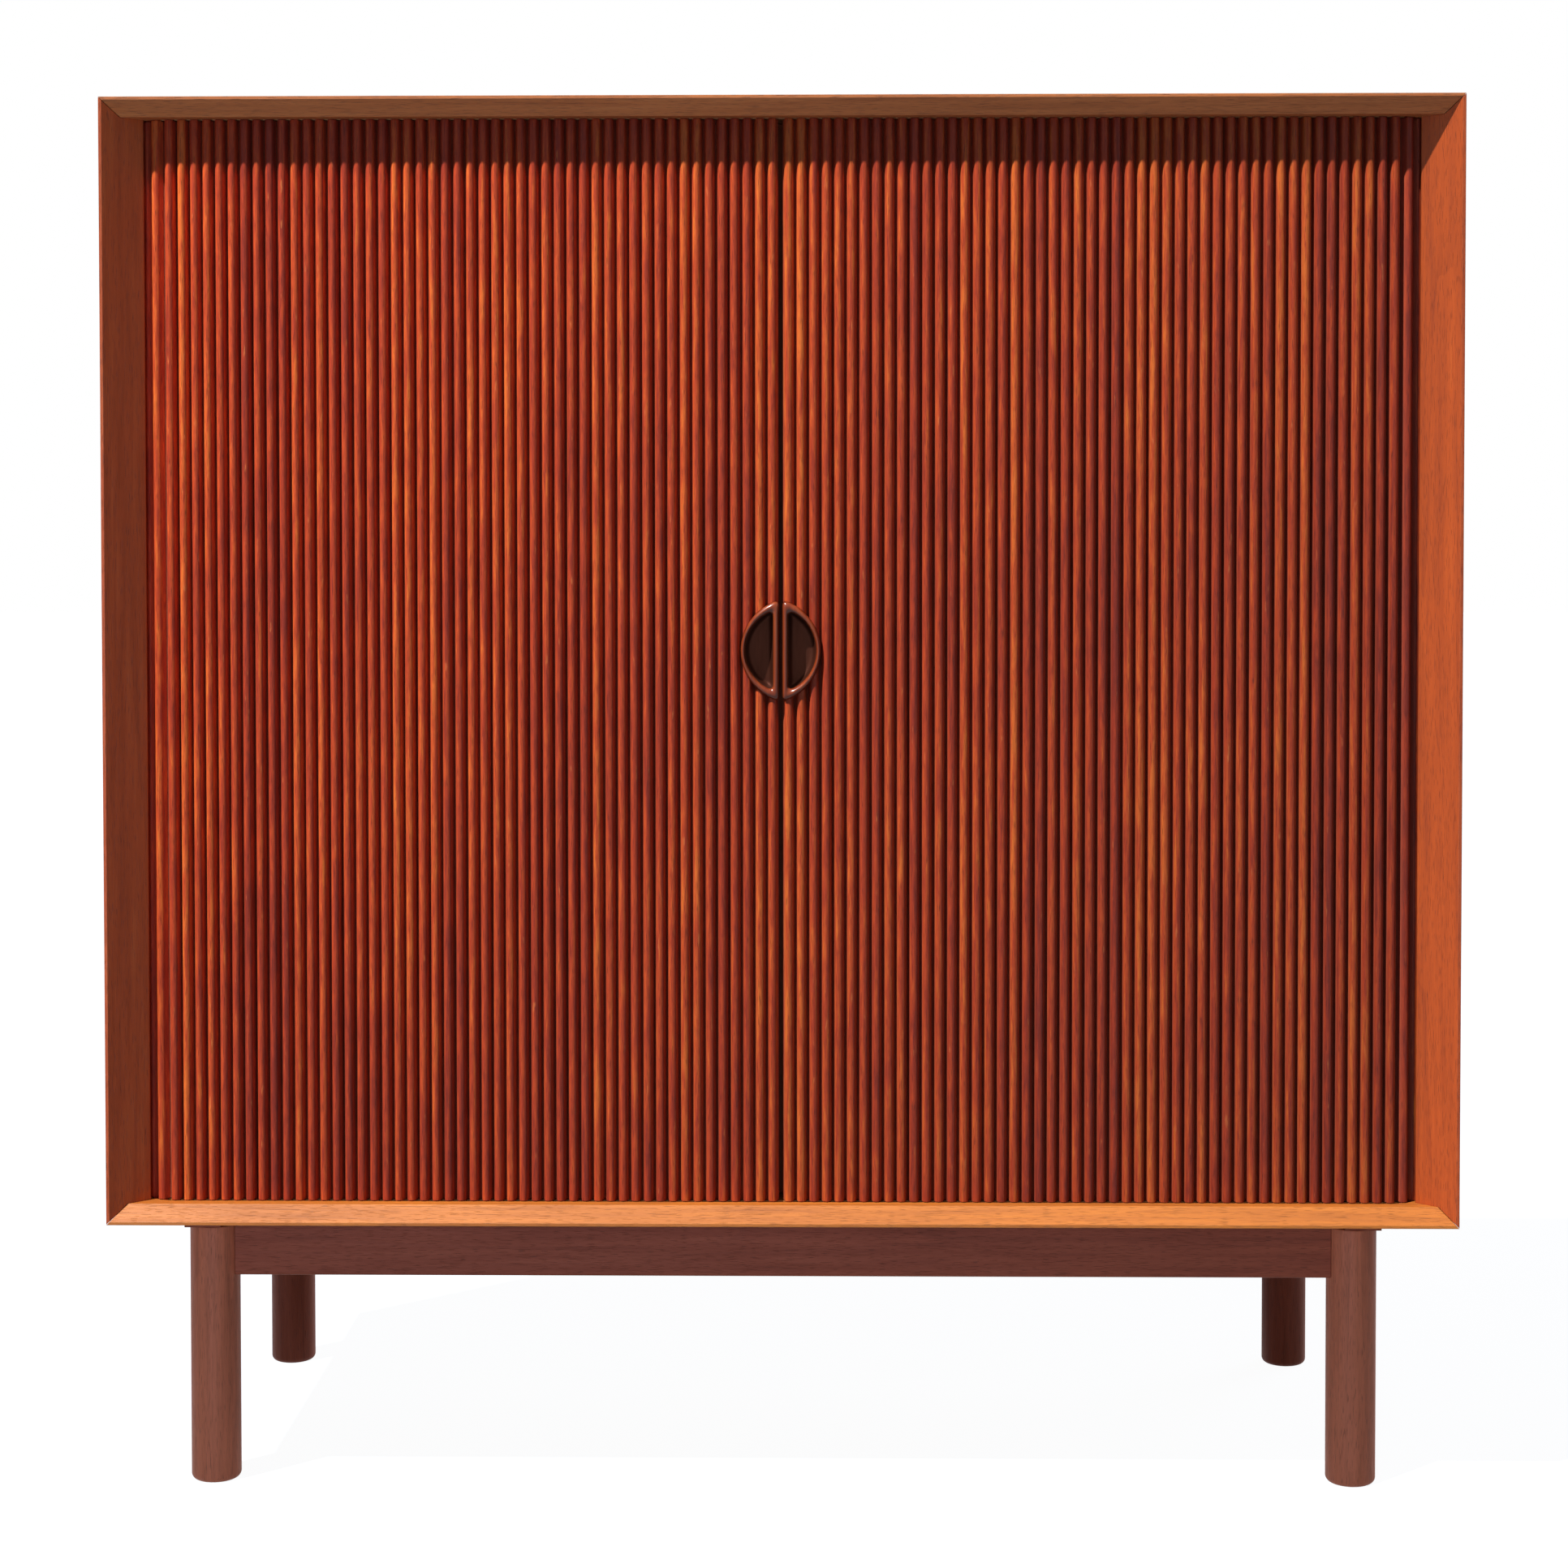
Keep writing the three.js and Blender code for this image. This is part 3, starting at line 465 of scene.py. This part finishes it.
def hollow_wood():
    """The hollow of a pull: a near-black brown of painted shade that shines back warm."""
    paint = new_paint("pull_teak_hollow")
    place = grain_place(paint, "Z")[2]
    streak = paint.noise(place, scale=260.0, detail=5.0, roughness=0.7)
    fibre = fibres(paint, place)
    colour = paint.ramp(streak, (0.32, 0.7), HOLLOW_SHADE_TONES)
    rough = paint.spread(fibre, NOISE_SPAN, (0.62, 0.52))
    return paint.finish(colour, rough, fibre, depth=0.05 * MM, Specular_IOR_Level=0.58,
                        Specular_Tint=HOLLOW_SHINE)


def steel():
    """Bright screw steel, dulled in patches and finely turned."""
    paint = new_paint("screw_steel_turned")
    place = paint.object_place()
    dull = paint.noise(place, scale=700.0, detail=4.0, roughness=0.6)
    colour = paint.ramp(dull, NOISE_SPAN, STEEL_TONES)
    rough = paint.spread(dull, NOISE_SPAN, (0.5, 0.28))
    return paint.finish(colour, rough, paint.noise(place, scale=2600.0), depth=0.03 * MM, Metallic=1.0)


case_sill = wood("case_teak_sill", "X", SILL_TONES, gloss=0.34, worn=(0.72, 0.36, 0.14))
# The top board: the sill's teak with painted cool bounce light
case_lintel = wood("case_teak_lintel", "X", LINTEL_COOL_SHADE_TONES, gloss=0.34, worn=(0.72, 0.36, 0.14))
case_up = wood("case_teak_up", "Z", CASE_TONES, gloss=0.36)
side_up = wood("case_teak_side", "Z", SIDE_TONES, gloss=0.36)
# The rails, battens and rear legs take the darker base tones, painted shade under the case
rail_back_shaded = wood("base_rail_back", "Y", SHADED_BASE_TONES, roughness=0.55, gloss=0.3)
base_up = wood("base_teak_up", "Z", BASE_TONES, roughness=0.55, gloss=0.34, painted_bounce=(0.78, 0.200, 0.085))
rail_along_shaded = wood("base_rail_along", "X", SHADED_BASE_TONES, roughness=0.55, gloss=0.3)
rear_up_shaded = wood("base_rear_up", "Z", SHADED_BASE_TONES, roughness=0.55, gloss=0.3)
inner_along = wood("inner_veneer_along", "X", INNER_TONES, figure=0.3, roughness=0.55, pores=0.3,
                   worn=(0.55, 0.27, 0.12), lipping=CASE_TONES)
inner_back = wood("inner_veneer_back", "Y", INNER_TONES, figure=0.3, roughness=0.55, pores=0.3,
                  worn=(0.6, 0.35, 0.18))
inner_up = wood("inner_veneer_up", "Z", INNER_TONES, figure=0.3, roughness=0.55, pores=0.3,
                worn=(0.55, 0.27, 0.12), lipping=CASE_TONES)
plywood_up = wood("plywood_up", "Z", BACK_TONES, figure=0.8, roughness=0.65, pores=0.3,
                  worn=(0.55, 0.36, 0.2))
slat_teak, canvas_weave, screw_metal = slat_wood(), canvas_cloth(), steel()
pull_teak, hollow_teak = pull_wood(), hollow_wood()


# Pieces

def new_object(name, data):
    made = bpy.data.objects.new(name, data)
    bpy.context.scene.collection.objects.link(made)
    return made


def made_piece(name, body, slot, points, faces, *materials):
    """A new mesh piece on a body, smooth except over its sharp edges."""
    mesh = bpy.data.meshes.new(name)
    mesh.from_pydata(points, [], faces)
    mesh.shade_smooth()
    mesh.set_sharp_from_angle(angle=SHARP_ANGLE)
    for material in materials:
        mesh.materials.append(material)
    piece = new_object(name, mesh)
    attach(piece, body)
    return piece


def store(piece, name, values):
    piece.data.attributes.new(name, "FLOAT", "POINT").data.foreach_set("value", values)


def skinned(loops, start=0):
    """Faces between loops of equal length and over both ends, for points numbered on from a first one."""
    count = len(loops[0])
    faces = []
    for ring in range(len(loops) - 1):
        low, high = start + ring * count, start + (ring + 1) * count
        for step in range(count):
            after = (step + 1) % count
            faces.append((low + step, low + after, high + after, high + step))
    last = start + (len(loops) - 1) * count
    faces.append(tuple(start + step for step in reversed(range(count))))
    faces.append(tuple(last + step for step in range(count)))
    return faces


def lofted(name, body, slot, loops, *materials):
    """A closed piece over loops of points, the first of which is its underside or back."""
    points = [point for loop in loops for point in loop]
    return made_piece(name, body, slot, points, skinned(loops), *materials)


def circle(radius, sides):
    turns = [math.tau * step / sides for step in range(sides)]
    return [(radius * math.cos(turn), radius * math.sin(turn)) for turn in turns]


# Curtains and pulls

class HalfMoon:
    """A half-moon with a straight flat side, a round back and tips rounded off by a corner. It lies upright,
    measured out from the door's meeting edge and up from its own middle."""

    def __init__(self, flat, width, height, corner):
        self.flat, self.corner = flat, corner
        self.radius = (height ** 2 / 4 + width ** 2) / (2 * width)
        self.centre = flat + width - self.radius
        self.tip_angle = math.acos((flat + corner - self.centre) / self.radius)
        self.arc_end = self.radius * math.sin(self.tip_angle)
        self.tip = self.arc_end + corner / math.tan(self.tip_angle)

    def rounding(self, share):
        """A point of the upper tip's rounding, from the round back to the flat side."""
        rest = 1 - share
        low = self.tip - self.corner
        return (self.flat + self.corner * rest ** 2,
                self.arc_end * rest ** 2 + 2 * self.tip * share * rest + low * share ** 2)

    def half_height(self, out):
        """Half the height at a distance from the meeting edge."""
        if out >= self.flat + self.corner:
            return math.sqrt(max(self.radius ** 2 - (out - self.centre) ** 2, 0))
        return self.rounding(1 - math.sqrt(max(out - self.flat, 0) / self.corner))[1]

    def outline(self):
        """The points round it: up the round back, over the upper tip, down the flat side, over the lower."""
        turns = [self.tip_angle * (2 * step / ARC_STEPS - 1) for step in range(ARC_STEPS + 1)]
        back = [(self.centre + self.radius * math.cos(turn), self.radius * math.sin(turn)) for turn in turns]
        over = [self.rounding(step / TIP_STEPS) for step in range(1, TIP_STEPS + 1)]
        low = self.tip - self.corner
        down = [(self.flat, low * (1 - 2 * step / FLAT_STEPS)) for step in range(1, FLAT_STEPS)]
        return back + over + down + [(out, -up) for out, up in reversed(over)]


PULL_OPENING = HalfMoon(-PULL_ROOM, PULL_WIDTH + 2 * PULL_ROOM, PULL_HEIGHT + 2 * PULL_ROOM, PULL_CORNER)

# The stretches of a slat, each between two heights that depend on the distance from the meeting edge
WHOLE = [(lambda out: SLAT_LOW, lambda out: SLAT_HIGH)]
CUT_FOR_PULL = [(lambda out: SLAT_LOW, lambda out: PULL_Z - PULL_OPENING.half_height(out)),
                (lambda out: PULL_Z + PULL_OPENING.half_height(out), lambda out: SLAT_HIGH)]


def stretches(index):
    return CUT_FOR_PULL if index < CUT_SLATS else WHOLE


def hinge(side, distance):
    """Where the front face of the canvas runs at a distance from the middle, and how far it has turned."""
    if distance <= BEND_X:
        return side * distance, HINGE_Y, 0.0
    angle = min((distance - BEND_X) / HINGE_RADIUS, math.pi / 2)
    past = max(distance - BEND_X - HINGE_RADIUS * math.pi / 2, 0)
    x = side * (BEND_X + HINGE_RADIUS * math.sin(angle))
    return x, BEND_Y - HINGE_RADIUS * math.cos(angle) + past, side * angle


def placed(place, along, behind):
    """A point along the curtain and behind its hinge line, from a place on that line."""
    x, y, turn = place
    return (x + along * math.cos(turn) - behind * math.sin(turn),
            y + along * math.sin(turn) + behind * math.cos(turn))


def slat_section():
    """Domed section of a slat on sloped flanks: along the curtain, behind the hinge, how near the crest."""
    half = (SLAT_PITCH - SLAT_GAP) / 2
    dome = half - SLAT_FLANK
    shoulder = DOME_RISE - SLAT_FRONT
    points = [(-half, CANVAS / 2, 0.0), (-dome, shoulder, SHOULDER_CREST)]
    for step in range(1, DOME_STEPS):
        angle = math.pi * step / DOME_STEPS
        rise = math.sin(angle)
        crest = SHOULDER_CREST + (1 - SHOULDER_CREST) * rise
        points.append((-dome * math.cos(angle), shoulder - DOME_RISE * rise, crest))
    return points + [(dome, shoulder, SHOULDER_CREST), (half, CANVAS / 2, 0.0)]


def slat_tone(index, side):
    """The tone of a slat, by its number from the middle."""
    wave = TONE_MIDDLE + WAVE_HEIGHT * math.sin(WAVE_PER_SLAT * index + WAVE_START[side])
    lift = MEETING_LIFT * math.exp(-index / MEETING_SLATS)
    if side < 0:
        lift += END_LIFT * math.exp((index - END_SLAT) / END_SLATS)
    return min(max(wave + lift + random.gauss(0, TONE_CHANCE), 0), 1)


class Run:
    """One stretch of curtain, some slats with the canvas behind them, as points and faces."""

    def __init__(self, side):
        self.side = side
        self.points, self.faces = [], []
        self.tone, self.crest = [], []

    def place(self, index):
        """Where the middle of a slat lies on the line of the curtain."""
        return hinge(self.side, FIRST_EDGE + (index + 0.5) * SLAT_PITCH)

    def add_loops(self, loops, tone, crest):
        self.faces += skinned(loops, len(self.points))
        for loop in loops:
            self.points += loop
            self.tone += [tone] * len(loop)
            self.crest += crest

    def add_slat(self, index, tone, sway):
        """A slat, which follows the outline of the pull where it is cut out for one, and its two tongues."""
        place = self.place(index)
        section = slat_section()
        crest = [point[2] for point in section]
        rise = 1 + random.uniform(-RISE_SHARE, RISE_SHARE)
        for low, high in stretches(index):
            loops = []
            for ring in range(LENGTH_RINGS + 1):
                share = ring / LENGTH_RINGS
                loop = []
                for along, behind, _ in section:
                    x, y = placed(place, along, behind * rise if behind < 0 else behind)
                    out = abs(x) - FIRST_EDGE
                    z = low(out) * (1 - share) + high(out) * share
                    lean = math.sin(math.pi * (z - SLAT_LOW) / (SLAT_HIGH - SLAT_LOW))
                    loop.append((x + sway * lean, y, z))
                loops.append(loop)
            self.add_loops(loops, tone, crest)
        corners = [(-TONGUE_HALF, TONGUE_BACK), (-TONGUE_HALF, TONGUE_FRONT),
                   (TONGUE_HALF, TONGUE_FRONT), (TONGUE_HALF, TONGUE_BACK)]
        for ends in ((TONGUE_LOW, SLAT_LOW + TONGUE_LAP), (SLAT_HIGH - TONGUE_LAP, TONGUE_HIGH)):
            loops = [[(*placed(place, *corner), z) for corner in corners] for z in ends]
            self.add_loops(loops, tone, [TONGUE_CREST] * len(corners))

    def add_canvas(self, index, first, last):
        """The canvas behind one slat, a little short of the next strip at the ends of a run."""
        place = self.place(index)
        reach = SLAT_PITCH / 2
        near = reach - (STRIP_GAP / 2 if first else 0)
        far = reach - (STRIP_GAP / 2 if last else 0)
        stops = [-near + (near + far) * step / CANVAS_STEPS for step in range(CANVAS_STEPS + 1)]
        outline = [(self.side * stop, 0.0) for stop in stops]
        outline += [(self.side * stop, CANVAS) for stop in reversed(stops)]
        if self.side < 0:
            outline.reverse()
        corners = [placed(place, *corner) for corner in outline]
        for limits in stretches(index):
            loops = [[(x, y, limit(abs(x) - FIRST_EDGE)) for x, y in corners] for limit in limits]
            self.add_loops(loops, CANVAS_TONE, [0.0] * len(corners))


def curtain(side_name, first, past, body, node):
    """One stretch of curtain, from a first slat up to another, in place of its CAD node."""
    side = SIDES[side_name]
    run = Run(side)
    for index in range(first, past):
        sway = 0 if index < LEAD_SLATS else random.uniform(-1, 1) * SWAY
        run.add_slat(index, slat_tone(index, side), sway)
    slat_faces = len(run.faces)
    for index in range(first, past):
        run.add_canvas(index, index == first, index == past - 1)
    canvas_faces = len(run.faces) - slat_faces
    piece = made_piece(f"{node}_on_canvas", body, "slat_teak", run.points, run.faces, slat_teak, canvas_weave)
    store(piece, "tone", run.tone)
    store(piece, "crest", run.crest)
    piece.data.polygons.foreach_set("material_index", [0] * slat_faces + [1] * canvas_faces)
    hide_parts(node)
    return piece


def between(first, second, share):
    return [(a[0] + share * (b[0] - a[0]), a[1] + share * (b[1] - a[1])) for a, b in zip(first, second)]


def pull(side_name):
    """A carved half-moon: a domed rim standing proud of the slats round a deep hollow."""
    side = SIDES[side_name]
    outer = HalfMoon(0, PULL_WIDTH, PULL_HEIGHT, PULL_CORNER).outline()
    brim = HalfMoon(BOWL_SIDE, BOWL_WIDTH, BOWL_HEIGHT, BOWL_CORNER).outline()
    rings = [(outer, PULL_DEEP), (outer, PULL_DEEP / 2), (outer, RIM_DROP)]
    for step in range(1, RIM_STEPS + 1):
        share = step / RIM_STEPS
        crown = math.sin(math.pi * share) ** RIM_POWER
        rings.append((between(outer, brim, share), RIM_DROP * (1 - crown)))
    shell_faces = len(outer) * (len(rings) - 1)
    for inset, depth_share in BOWL_PROFILE:
        wall = HalfMoon(BOWL_SIDE + inset, BOWL_WIDTH - 2 * inset, BOWL_HEIGHT - BOWL_HEIGHT_LOSS * inset,
                        BOWL_CORNER - BOWL_CORNER_LOSS * inset)
        rings.append((wall.outline(), RIM_DROP + depth_share * (BOWL_DEEP - RIM_DROP)))
    loops = []
    for outline, deep in rings:
        loop = [(side * (FIRST_EDGE + out), PULL_FRONT + deep, PULL_Z + up) for out, up in outline]
        loops.append(list(reversed(loop)) if side < 0 else loop)
    piece = lofted(f"{side_name}_pull_carved", f"{side_name}_lead", "pull_teak", loops,
                   pull_teak, hollow_teak)
    # The faces of the shell and of the hollow's wall, then the back and the hollow's floor
    wall_faces = len(outer) * len(BOWL_PROFILE)
    piece.data.polygons.foreach_set("material_index", [0] * shell_faces + [1] * wall_faces + [0, 1])
    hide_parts(f"{side_name}_pull")


def doors():
    """The pull, lead section, strips and tail of each door, each strip with a mesh of its own."""
    for side_name, side in SIDES.items():
        pull(side_name)
        curtain(side_name, 0, LEAD_SLATS, f"{side_name}_lead", f"{side_name}_lead_slats")
        for number, (first, past) in enumerate(STRIPS, 1):
            strip = curtain(side_name, first, past, f"{side_name}_curtain_strip_{number}",
                            f"{side_name}_curtain_{number}")
            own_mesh(strip)
        curtain(side_name, *TAIL, "cabinet", f"{side_name}_curtain_tail")


# Legs, screws and the finish of the CAD nodes that stay

def leg(name, x, y, material):
    """A turned leg: a profile of radius and height, spun about its axis."""
    profile = [(FOOT_FLAT, 0)]
    for step in range(FOOT_STEPS + 1):
        turn = math.pi / 2 * step / FOOT_STEPS
        radius = LEG_RADIUS - FOOT_ROUND + FOOT_ROUND * math.sin(turn)
        profile.append((radius, FOOT_ROUND - FOOT_ROUND * math.cos(turn)))
    profile += [(LEG_RADIUS, LEG_TOP - LEG_CHAMFER), (LEG_RADIUS - LEG_CHAMFER, LEG_TOP)]
    loops = [[(x + a, y + b, z) for a, b in circle(radius, LEG_SIDES)] for radius, z in profile]
    piece = lofted(f"{name}_turned", "cabinet", "base_teak", loops, material)
    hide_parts(name)


def legs():
    for row, y, material in (("front", -LEG_Y, base_up), ("rear", LEG_Y, rear_up_shaded)):
        for side_name, side in SIDES.items():
            leg(f"{row}_{side_name}_leg", side * LEG_X, y, material)


def finish_nodes():
    """Gives each CAD node that still shows its material."""
    levels = ("lower", "upper")
    finishes = {
        case_sill: ["bottom_panel"],
        case_lintel: ["top_panel"],
        side_up: ["left_side_panel", "right_side_panel"],
        case_up: ["left_front_post", "right_front_post"],
        plywood_up: ["back_panel", "false_back"],
        inner_up: ["left_liner", "right_liner", "centre_partition"],
        inner_along: [f"{side}_{level}_shelf" for side in SIDES for level in levels],
        inner_back: [f"{side}_{level}_shelf_{end}_bearer"
                     for side in SIDES for level in levels for end in ("inner", "outer")],
        rail_along_shaded: ["front_rail", "rear_rail", "front_batten", "rear_batten"],
        rail_back_shaded: ["left_rail", "right_rail", "left_batten", "right_batten"],
        screw_metal: [f"{row}_{side}_screw" for row in ("front", "rear") for side in SIDES],
    }
    for material, names in finishes.items():
        for name in names:
            for slot in frame["nodes"][name].material_slots:
                slot.material = material


def back_screws():
    """The domed heads of the small screws in the face of the back panel: two rows, then two columns."""
    low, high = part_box("back_panel")
    rows = (low.z + SCREW_FROM_END, high.z - SCREW_FROM_END)
    columns = (low.x + SCREW_FROM_SIDE, high.x - SCREW_FROM_SIDE)
    places = [(low.x + share * (high.x - low.x), z) for z in rows for share in SCREW_ACROSS_SHARES]
    places += [(x, low.z + share * (high.z - low.z)) for x in columns for share in SCREW_UP_SHARES]
    for number, (x, z) in enumerate(places, 1):
        loops = []
        for share, proud in SCREW_HEAD:
            round_head = circle(share * SCREW_RADIUS, SCREW_SIDES)
            loops.append([(x - across, high.y + proud, z + up) for across, up in round_head])
        lofted(f"back_screw_{number:02d}", "cabinet", "screw_steel", loops, screw_metal)


# Floor, background, lamps and camera

def floor():
    """A floor that shows as white to the camera and in reflections, and keeps a soft shadow."""
    corners = [(x * FLOOR_REACH, y * FLOOR_REACH, 0) for x, y in ((-1, -1), (1, -1), (1, 1), (-1, 1))]
    mesh = bpy.data.meshes.new("floor")
    mesh.from_pydata(corners, [], [(0, 1, 2, 3)])
    plane = new_object("floor", mesh)
    paint = new_paint("pale_floor")
    shaded = paint.node("BsdfDiffuse", {"Color": FLOOR_TONE})
    lifted = paint.node("Emission", {"Color": WHITE, "Strength": paint.times(paint.seen(), FLOOR_LIFT)})
    both = paint.node("AddShader", {0: shaded.outputs[0], 1: lifted.outputs[0]})
    paint.node("OutputMaterial", {"Surface": both.outputs[0]})
    mesh.materials.append(paint.owner)


def background():
    """An even, slightly cool fill light, which shows as plain white to the camera and in reflections."""
    world = bpy.data.worlds.new("studio")
    bpy.context.scene.world = world
    paint = Paint(world)
    shade = paint.node("Background", {"Color": paint.mixed(paint.seen(), FILL, WHITE)})
    paint.node("OutputWorld", {"Surface": shade.outputs[0]})


def lamp(name, kind, strength, place, aim, **settings):
    data = bpy.data.lights.new(name, kind)
    data.energy = strength
    for key, value in settings.items():
        setattr(data, key, value)
    made = new_object(name, data)
    made.location = place
    made.rotation_euler = (Vector(aim) - Vector(place)).to_track_quat("-Z", "Y").to_euler()
    return made


def flag_off(light, endings):
    """Keeps a lamp's light off the pieces whose names end in one of these ways."""
    flagged = bpy.data.collections.new(f"flagged_from_{light.name}")
    for made in bpy.context.scene.objects:
        if made.type == "MESH" and made.name.endswith(endings):
            flagged.objects.link(made)
    light.light_linking.receiver_collection = flagged
    for linked in flagged.collection_objects:
        linked.light_linking.link_state = "EXCLUDE"


def lamps():
    """A sun from the left, a weak fill from the right rear, and a low, cool one from the front. The base is
    kept in plain shade, and the cool one reaches only the case, the base frame and the front legs."""
    middle = Vector(LIT_POINT)
    sun_place = middle + SUN_AWAY * Vector(SUN_FROM).normalized()
    sun = lamp("key", "SUN", SUN_STRENGTH, sun_place, middle, angle=SUN_WIDTH, color=SUN_COLOUR)
    lamp("side_and_back_fill", "AREA", SIDE_STRENGTH, SIDE_PLACE, SIDE_AIM, shape="DISK", size=SIDE_SIZE)
    front = lamp("low_front_fill", "AREA", FRONT_STRENGTH, FRONT_PLACE, middle, shape="DISK",
                 size=FRONT_SIZE, color=FRONT_COLOUR)
    flag_off(sun, ("_leg_turned", "_rail", "_batten"))
    flag_off(front, ("_on_canvas", "_pull_carved", "rear_left_leg_turned", "rear_right_leg_turned", "floor"))


def camera():
    """The photograph's view."""
    data = bpy.data.cameras.new("camera")
    data.sensor_width = CAMERA_SENSOR
    data.lens = CAMERA_LENS
    data.shift_y = CAMERA_SHIFT
    data.clip_end = CAMERA_REACH
    made = new_object("camera", data)
    made.location = CAMERA_PLACE
    ahead = Vector((math.sin(CAMERA_YAW) * math.cos(CAMERA_PITCH),
                    math.cos(CAMERA_YAW) * math.cos(CAMERA_PITCH), -math.sin(CAMERA_PITCH)))
    level = Vector((math.cos(CAMERA_YAW), -math.sin(CAMERA_YAW), 0))
    right = level * math.cos(CAMERA_ROLL) + level.cross(ahead) * math.sin(CAMERA_ROLL)
    up = right.cross(ahead)
    made.rotation_mode = "QUATERNION"
    made.rotation_quaternion = Matrix((right, up, -ahead)).transposed().to_quaternion()
    bpy.context.scene.camera = made


legs()
doors()
finish_nodes()
back_screws()
floor()
background()
lamps()
camera()
bpy.context.scene.view_settings.view_transform = "Standard"
